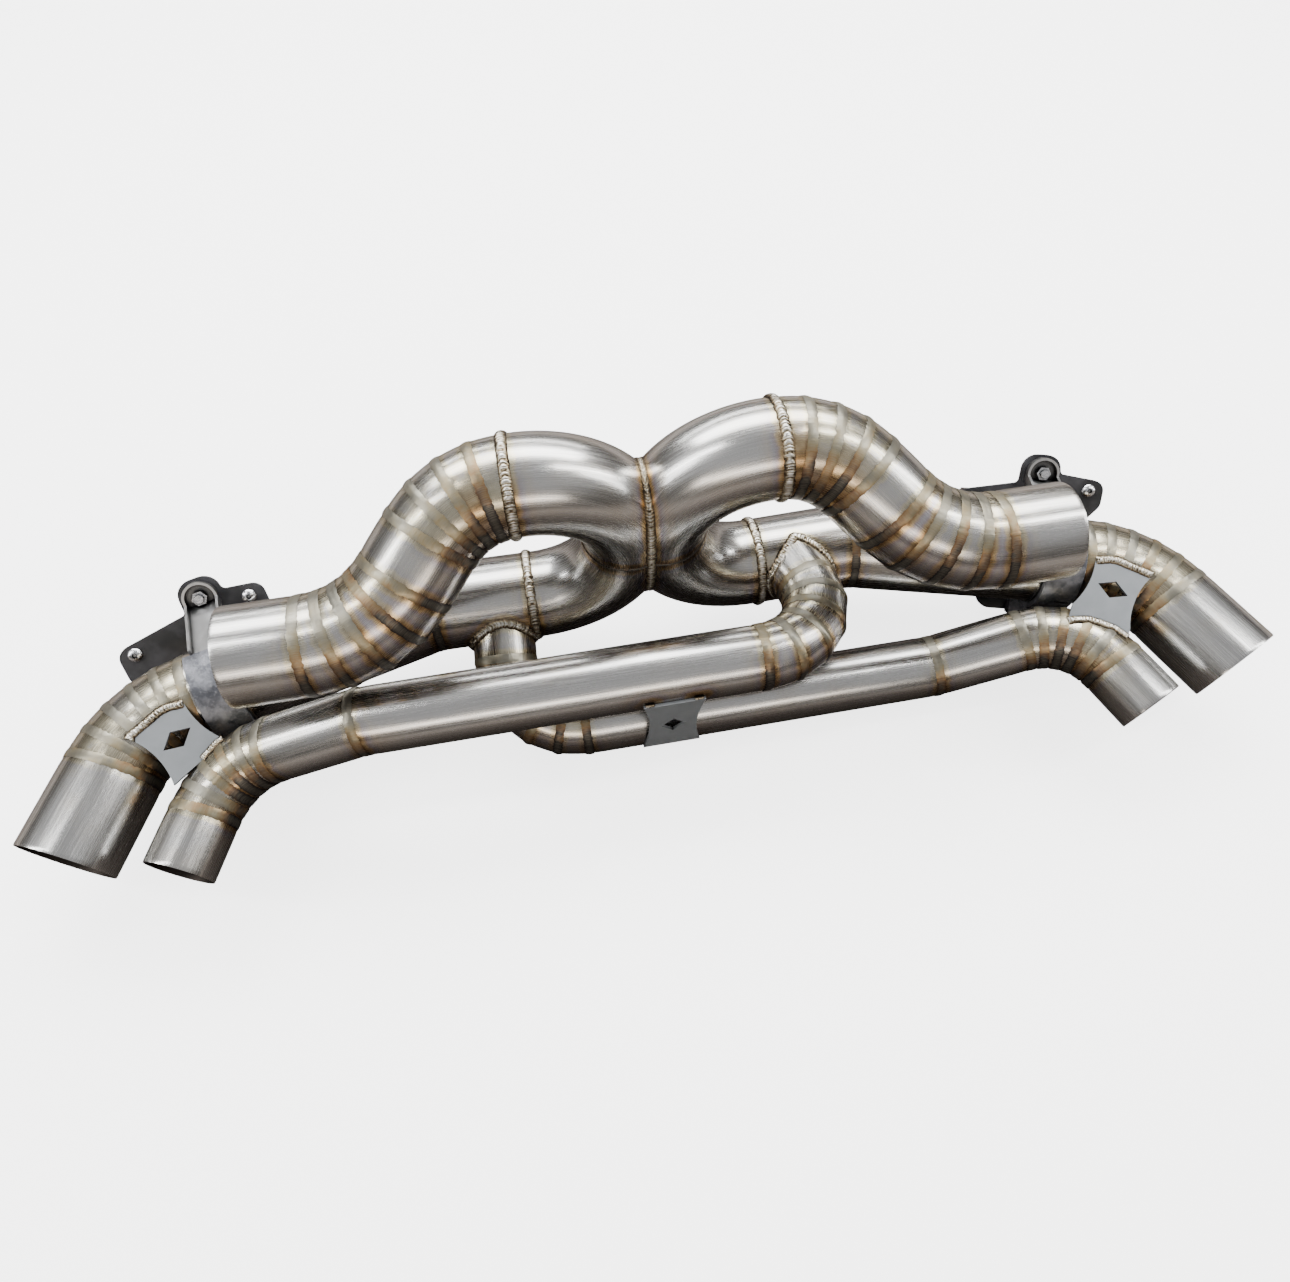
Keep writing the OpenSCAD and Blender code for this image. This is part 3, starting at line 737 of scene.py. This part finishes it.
def lay_junction_welds():
    """The upright bead round the junction and the thin one between its upper and lower halves."""
    path = np.vstack([elbow_rim(f"{level}_elbow_right", 0, 0.0) for level in ("upper", "lower")])
    turn = np.arctan2(path[:, 2] - JUNCTION[2], path[:, 1] - JUNCTION[1])
    path = path[np.argsort(turn)]
    path = path[np.linalg.norm(path - np.roll(path, 1, axis=0), axis=1) > TOUCHING]
    upper = path[:, 2] > JUNCTION[2]
    walls = []
    for name, way in (("left", -1), ("right", 1)):
        out = np.where(upper[:, None], ELBOWS[f"upper_elbow_{name}"].outward(path),
                       ELBOWS[f"lower_elbow_{name}"].outward(path))
        walls += [out, over_wall(loop_tangent(path), out, [way, 0, 0])]
    bead("junction_upright", path, *walls, RAISED, BEAD_WELD, seed=901)

    for name in SIDES:
        elbow = ELBOWS[f"upper_elbow_{name}"]
        path = elbow_rim(f"upper_elbow_{name}", 2, JUNCTION[2])
        core = elbow.core(path)[0]
        turn = np.arctan2(path[:, 1] - core[1], elbow.sign * (path[:, 0] - core[0]))
        path = path[np.argsort(turn)]
        out = elbow.outward(path) * [1, 1, 0]
        up = np.tile([0.0, 0.0, 1.0], (len(path), 1))
        bead(f"junction_level_{name}", path, out, up, out, -up, THIN, FLAT_WELD,
             closed=False, seed=930)


def sharp_points(bm, angle=0.5):
    """Vertices on edges where two faces meet at more than an angle, in radians."""
    found = set()
    for edge in bm.edges:
        if len(edge.link_faces) == 2 and edge.calc_face_angle(0) > angle:
            found.update(edge.verts)
    return np.array([v.co for v in found])


def lay_saddle_welds():
    """The fillet round each branch stub where it stands on its rear pipe."""
    for name in SIDES:
        stub = TUBES[f"branch_stub_{name}"][0]
        pipe = TUBES[f"rear_pipe_{name}"][0]
        bm = merged(stub.node)
        points = sharp_points(bm)
        bm.free()
        radius = np.linalg.norm(stub.grain(points)[:, :2], axis=1)
        arm = points - pipe.centre
        off = np.linalg.norm(arm - np.outer(arm @ pipe.axis, pipe.axis), axis=1)
        points = points[(radius > stub.outer - TOUCHING) & (off < pipe.outer + FOOT_GAP)]
        where = stub.grain(points)
        path = points[np.argsort(np.arctan2(where[:, 1], where[:, 0]))]
        tangent = loop_tangent(path)
        out_a, out_b = stub.outward(path), pipe.outward(path)
        into_a = over_wall(tangent, out_a, unit(stub.centre - path.mean(0)))
        into_b = over_wall(tangent, out_b, out_a)
        bead(f"saddle_{name}", path, out_a, into_a, out_b, into_b, SADDLE, BEAD_WELD, seed=950)


def tubes_touched(points, group):
    """The points that lie on a tube of the group, each with the tube whose wall is nearest."""
    found = []
    for point in points:
        gaps = [abs(past) + past_ends for past, past_ends in (t.past_wall(point) for t in group)]
        if min(gaps) < GUSSET_GAP:
            found.append((point, group[int(np.argmin(gaps))]))
    return found


def straight_edge(points, face, way, inwards):
    """The two ends of a plate's outline edge that lies farthest inwards.

    An outline edge has every point of the plate on one side of it.
    """
    shortest, slack = 15 * MM, 0.05 * MM
    edges = []
    for a in points:
        for b in points[(points - a) @ way > shortest]:
            beyond = (points - a) @ np.cross(unit(b - a), face)
            if min(beyond.max(), -beyond.min()) < slack:
                edges.append((round((a + b) @ inwards / MM), np.linalg.norm(b - a), a, b))
    return max(edges, key=lambda row: row[:2])[2:]


def extend_gusset(name, points, face, way, group):
    """Carries a gusset's straight edge on to the tube that it stops short of.

    Gives the points where the extension's top face meets the tube, each with its tube.
    """
    columns, farthest, step, thickness = 25, 40 * MM, 0.2 * MM, 3 * MM
    inwards = unit(np.cross(way, face))
    tube_middle = np.mean([tube.centre for tube in group[:5]], axis=0)
    inwards *= np.sign(inwards @ (tube_middle - points.mean(0)))
    first, last = straight_edge(points, face, way, inwards)
    top, met = [], []
    for share in np.linspace(0, 1, columns):
        start = first * (1 - share) + last * share
        for reach in np.arange(0, farthest, step):
            place = start + inwards * reach
            gaps = [sum(tube.past_wall(place)) for tube in group]
            if min(gaps) <= TOUCHING:
                top.append((start, place))
                met.append((place, group[int(np.argmin(gaps))]))
                break
    top = np.array(top)
    sheet = np.concatenate([top, top - face * thickness], axis=1)[:, [0, 1, 3, 2]].reshape(-1, 3)
    faces = grid_faces(len(met), 4, False, True)
    obj = new_object(f"gusset_edge_{name}", sheet, faces, smooth=False)
    obj.data.materials.append(BLASTED)
    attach(obj, "root")
    return met


def lay_gusset_welds():
    """Thick beads along the two tube sides of each tip gusset."""
    for name in SIDES:
        bm = merged(f"tip_gusset_{name}")
        top = max(bm.faces, key=lambda f: f.calc_area() * (f.normal.z > 0.5))
        face = np.array(top.normal)
        level = max(np.array(v.co) @ face for v in bm.verts)
        points = np.array([v.co for v in bm.verts if np.array(v.co) @ face > level - TOUCHING])
        bm.free()
        for kind in ("outer", "inner"):
            group = TUBES[f"{kind}_bend_{name}"] + TUBES[f"{kind}_tip_{name}"]
            way = unit(group[3].centre - group[1].centre)
            near = tubes_touched(points, group)
            if len(near) < 2:
                near = extend_gusset(name, points, face, way, group)
            near.sort(key=lambda pair: pair[0] @ way)
            path = np.array([point for point, _ in near])
            tangent = unit(np.gradient(path, axis=0) + 1e-9 * way)
            out_a = np.tile(face, (len(path), 1))
            out_b = np.array([tube.outward(point[None])[0] for point, tube in near])
            into_a = over_wall(tangent, out_a, points.mean(0) - path)
            into_b = over_wall(tangent, out_b, face)
            bead(f"gusset_{kind}_{name}", path, out_a, into_a, out_b, into_b, EDGE, BEAD_WELD,
                 closed=False, seed=970)


def lay_tack_welds():
    """A short bead at each corner of the centre gusset, a flat plate in the plane of X and Z."""
    low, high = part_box("centre_gusset")
    in_from_corner, length, depth = 6 * MM, 9 * MM, 1.6 * MM
    for level, z, way in (("upper", high.z, 1), ("lower", low.z, -1)):
        tube = TUBES[f"crossover_tube_{level}"][0]
        for x in (low.x + in_from_corner, high.x - in_from_corner):
            along = np.outer(np.linspace(-0.5, 0.5, 9), [length, 0, 0])
            path = np.array([x, low.y + depth, z]) + along
            out_a = np.tile([0.0, -1.0, 0.0], (len(path), 1))
            into_a = np.tile([0.0, 0.0, -way], (len(path), 1))
            out_b = tube.outward(path)
            into_b = over_wall([1.0, 0.0, 0.0], out_b, [0, 0, way])
            bead(f"tack_{len(BEADS)}", path, out_a, into_a, out_b, into_b, TACK, BEAD_WELD,
                 closed=False, seed=len(BEADS))


lay_butt_welds()
lay_junction_welds()
lay_saddle_welds()
lay_gusset_welds()
lay_tack_welds()


# ---------------------------------------------------------------- tube skins

WELD_TREE = KDTree(sum(len(points) for points in WELD_POINTS))
for index, point in enumerate(np.vstack(WELD_POINTS)):
    WELD_TREE.insert(point, index)
WELD_TREE.balance()
COPIED_KINDS = ("rear_pipe", "branch_stub")
AROUND = 112
ROW_STEP = 4 * MM
MOST_ROWS = 60
END_CROWDING = 0.6
WOBBLE = 0.10 * MM
LONGEST_EDGE = 7 * MM
MOST_SPLITS = 6
RIM_ANGLE = math.radians(50)
COPY_ANGLE = math.radians(35)
BEVEL_ANGLE = math.radians(40)
# How far the wall is drawn in at an end, and over what length: at an open rim and at a weld.
OPEN_RIM = (0.35 * MM, 0.3 * MM)
WELDED_RIM = (0.5 * MM, 7 * MM)


def welded_end(tube, end):
    """Whether a weld lies round an end, rather than an open rim."""
    point = tube.ends[end][0]
    return np.linalg.norm(point - np.array(WELD_TREE.find(point)[0])) <= 1.2 * tube.outer


def tube_skin(tube, seed):
    """Points of a closed tube: outer wall, rim, inner wall and rim again."""
    _, arm, from_a = tube.ring(0, tube.outer, AROUND)
    _, _, to_b = tube.ring(1, tube.outer, AROUND)
    length = np.abs(to_b - from_a)
    rows = int(np.clip(length.mean() / ROW_STEP, 4, MOST_ROWS))
    steps = np.linspace(0, 1, rows + 1)
    easing = steps - np.sin(2 * math.pi * steps) / (2 * math.pi) * END_CROWDING
    wobble = noise_1d(AROUND, 5, seed) * WOBBLE
    rims = [WELDED_RIM if welded_end(tube, end) else OPEN_RIM for end in (0, 1)]
    profile = []
    for t in easing:
        shrink = np.zeros(AROUND)
        for gap, (depth, reach) in zip((t * length, (1 - t) * length), rims):
            shrink += depth * np.exp(-(gap / reach) ** 2)
        radius = tube.outer - shrink + wobble * math.sin(math.pi * t)
        profile.append((radius, from_a + (to_b - from_a) * t, 0.0))
    bore = tube.outer - tube.wall
    _, _, from_a = tube.ring(0, bore, AROUND)
    _, _, to_b = tube.ring(1, bore, AROUND)
    for t in np.linspace(1, 0, max(2, rows // 2) + 1):
        profile.append((np.full(AROUND, bore), from_a + (to_b - from_a) * t, 1.0))
    verts = [tube.centre + arm * r[:, None] + np.outer(z, tube.axis) for r, z, _ in profile]
    inside = np.repeat([i for _, _, i in profile], AROUND)
    return np.vstack(verts), grid_faces(len(profile), AROUND, True, True), inside


def finish_skin(obj, owner, models, inside, seed, replaced):
    """Gives a skin its values, material and place. owner is each point's number in models."""
    points = points_of(obj)
    rng = np.random.default_rng(seed)
    grain = np.zeros_like(points)
    tone = np.zeros(len(points))
    away_from_light = np.zeros(len(points))
    for i, model in enumerate(models):
        mine = owner == i
        grain[mine] = model.grain(points[mine]) + rng.uniform(-1, 1, 3)
        tone[mine] = rng.uniform(0, 1)
        # How far each point faces away from the light; the titanium material paints shade from it.
        away_from_light[mine] = -model.outward(points[mine]) @ LIT
    set_values(obj, "grain", grain)
    set_values(obj, "tone", tone)
    set_values(obj, "inside", inside)
    set_values(obj, "weld", [WELD_TREE.find(p)[2] for p in points])
    set_values(obj, "away_from_light", away_from_light)
    obj.data.materials.append(TITANIUM)
    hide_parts(replaced)
    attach(obj, "root")


def orient(obj):
    """Makes the normals look outwards and keeps the rims crisp."""
    bm = bmesh.new()
    bm.from_mesh(obj.data)
    bmesh.ops.recalc_face_normals(bm, faces=bm.faces)
    bm.to_mesh(obj.data)
    bm.free()
    obj.data.set_sharp_from_angle(angle=RIM_ANGLE)


def lay_slice_skins():
    """Skins of the parts that are plain straight tubes, or slices of a bend."""
    for number, (node, group) in enumerate(TUBES.items()):
        if node.rsplit("_", 1)[0] in COPIED_KINDS:
            continue
        verts, faces, inside, owner = [], [], [], []
        for i, tube in enumerate(group):
            v, f, inner = tube_skin(tube, number * 31 + i)
            faces.append(f + sum(len(a) for a in verts))
            verts.append(v)
            inside.append(inner)
            owner.append(np.full(len(v), i))
        obj = new_object(f"skin_{node}", np.vstack(verts), np.vstack(faces))
        orient(obj)
        finish_skin(obj, np.concatenate(owner), group, np.concatenate(inside), number, node)


def lay_copied_skins():
    """Skins of the parts that aren't plain tubes: finer copies of their CAD meshes."""
    nodes = [f"{kind}_{name}" for kind in COPIED_KINDS for name in SIDES]
    models = {node: TUBES[node][0] for node in nodes}
    for number, (node, model) in enumerate({**models, **ELBOWS}.items()):
        bm = merged(node)
        for _ in range(MOST_SPLITS):
            long_edges = [e for e in bm.edges if e.calc_length() > LONGEST_EDGE]
            if not long_edges:
                break
            bmesh.ops.subdivide_edges(bm, edges=long_edges, cuts=1)
            bmesh.ops.triangulate(bm, faces=[f for f in bm.faces if len(f.verts) > 3])
        mesh = bpy.data.meshes.new(f"skin_{node}")
        bm.to_mesh(mesh)
        bm.free()
        mesh.shade_smooth()
        mesh.set_sharp_from_angle(angle=COPY_ANGLE)
        obj = link(f"skin_{node}", mesh)
        points = points_of(obj)
        if isinstance(model, Elbow):
            depth = np.linalg.norm(points - model.core(points), axis=1)
        else:
            depth = np.linalg.norm(model.grain(points)[:, :2], axis=1)
        inside = (depth < model.outer - model.wall * 0.6).astype(float)
        finish_skin(obj, np.zeros(len(points), int), [model], inside, number + 500, node)


lay_slice_skins()
lay_copied_skins()
for obj in BEADS:
    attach(obj, "root")


# ---------------------------------------------------------------- CAD parts that stay

# The material of each kind of part, and how far its edges are rounded, in millimetres.
FINISHES = {
    "tip_gusset": (BLASTED, 0.5), "hanger_plate": (BLACK, 0.6), "clamp_saddle": (CASTING, 1.2),
    "clamp_arm": (PRESSED, 0.5), "clamp_liner": (LINER, 0.2), "clamp_bolts": (ZINC, 0.5),
    "clamp_nuts": (ZINC, 0.5), "chassis_bolts": (ZINC, 0.35), "coupling_nuts": (ZINC, 0.5),
}


def finish_part(node, material, bevel):
    """Gives a CAD node its material and rounded edges."""
    obj = NODES[node]
    obj.data.materials.clear()
    obj.data.materials.append(material)
    rounding = obj.modifiers.new("rounding", "BEVEL")
    rounding.width = bevel * MM
    rounding.segments = 3
    rounding.limit_method = "ANGLE"
    rounding.angle_limit = BEVEL_ANGLE


for kind, (material, bevel) in FINISHES.items():
    for name in SIDES:
        finish_part(f"{kind}_{name}", material, bevel)
finish_part("centre_gusset", BLASTED, 0.5)


# ---------------------------------------------------------------- camera, floor and lights

def aim(obj, place, heading, pitch, roll=0.0):
    """Puts an object at a place, looking along a heading (0 is +Y, clockwise) and pitch."""
    turn = (Matrix.Rotation(math.radians(-heading), 4, "Z")
            @ Matrix.Rotation(math.radians(90 + pitch), 4, "X")
            @ Matrix.Rotation(math.radians(roll), 4, "Z"))
    obj.matrix_world = Matrix.Translation(place) @ turn


def make_camera():
    """The camera stands high in front of the junction and looks steeply down."""
    from_junction = Vector((-0.0873, -0.4824, 0.7464))
    data = bpy.data.cameras.new("camera")
    data.lens = 25.90
    data.sensor_width = 36
    data.clip_start = 0.02
    camera = link("camera", data)
    aim(camera, Vector(JUNCTION) + from_junction, heading=10.55, pitch=-63.66, roll=0.52)
    bpy.context.scene.camera = camera


def make_floor():
    """A floor that looks white to the camera, with a painted reflection: the tubes mirror it dark
    near the part, like a shadow, and warm farther out.
    """
    level = cad_box[0].z
    half, glow = 30.0, 3.2
    corners = [(x * half, y * half, level) for x, y in ((-1, -1), (1, -1), (1, 1), (-1, 1))]
    floor = new_object("floor", corners, [(0, 1, 2, 3)], smooth=False)
    n = Nodes("floor")
    rays = n.add("ShaderNodeLightPath").outputs
    far = n.add("ShaderNodeVectorMath", {0: n.place()}, operation="LENGTH").outputs["Value"]
    # Painted reflection: the floor colour that glossy rays see, dark near the part and warm farther
    # out.
    painted_reflection = n.mix(n.spread(far, 0.25, 1.6), rgb(0.05, 0.042, 0.037), rgb(0.36, 0.32, 0.29))
    n.set(base_color=n.mix(rays["Is Glossy Ray"], rgb(0.95, 0.95, 0.95), painted_reflection), roughness=0.9)
    n.set(specular_ior_level=0.0, emission_color=rgb(1.0, 1.0, 1.0))
    n.set(emission_strength=n.math("MULTIPLY", rays["Is Camera Ray"], glow))
    floor.data.materials.append(n.material)


def make_light(name, place, width, height, power, color=(1, 1, 1)):
    """A rectangular lamp that shines at the middle of the part."""
    data = bpy.data.lights.new(name, "AREA")
    data.shape = "RECTANGLE"
    data.size, data.size_y = width, height
    data.energy = power
    data.color = color
    way = -Vector(place)
    heading = math.degrees(math.atan2(way.x, way.y))
    aim(link(name, data), Vector(place), heading, math.degrees(math.asin(way.z / way.length)))


def make_world():
    """A grey studio: dark low walls and a paler ceiling."""
    world = bpy.data.worlds.new("studio")
    world.use_nodes = True
    bpy.context.scene.world = world
    tree = world.node_tree
    background = tree.nodes["Background"]
    split = tree.nodes.new("ShaderNodeSeparateXYZ")
    tree.links.new(tree.nodes.new("ShaderNodeTexCoord").outputs["Generated"], split.inputs[0])
    ramp = tree.nodes.new("ShaderNodeValToRGB")
    tree.links.new(split.outputs["Z"], ramp.inputs["Fac"])
    tree.links.new(ramp.outputs["Color"], background.inputs["Color"])
    set_stops(ramp.color_ramp.elements, [
        (0.0, (0.10, 0.095, 0.09)), (0.3, (0.20, 0.19, 0.18)), (0.7, (0.62, 0.62, 0.63)),
        (1.0, (0.50, 0.50, 0.51))])
    background.inputs["Strength"].default_value = 0.8


make_camera()
make_floor()
make_world()
make_light("key", (0.1, 1.3, 1.7), width=3.2, height=0.9, power=90)
make_light("back_strip", (0.0, 2.2, 0.9), width=3.0, height=0.15, power=16)
for way in (-1, 1):
    make_light("side_strip", (way * 1.5, 0.1, 1.5), width=0.16, height=1.8, power=16)
    make_light("low_strip", (way * 2.2, -0.3, 1.0), width=0.25, height=2.0, power=14)
make_light("front_fill", (-0.3, -2.0, 0.9), width=2.4, height=0.4, power=14,
           color=(1.0, 0.90, 0.80))
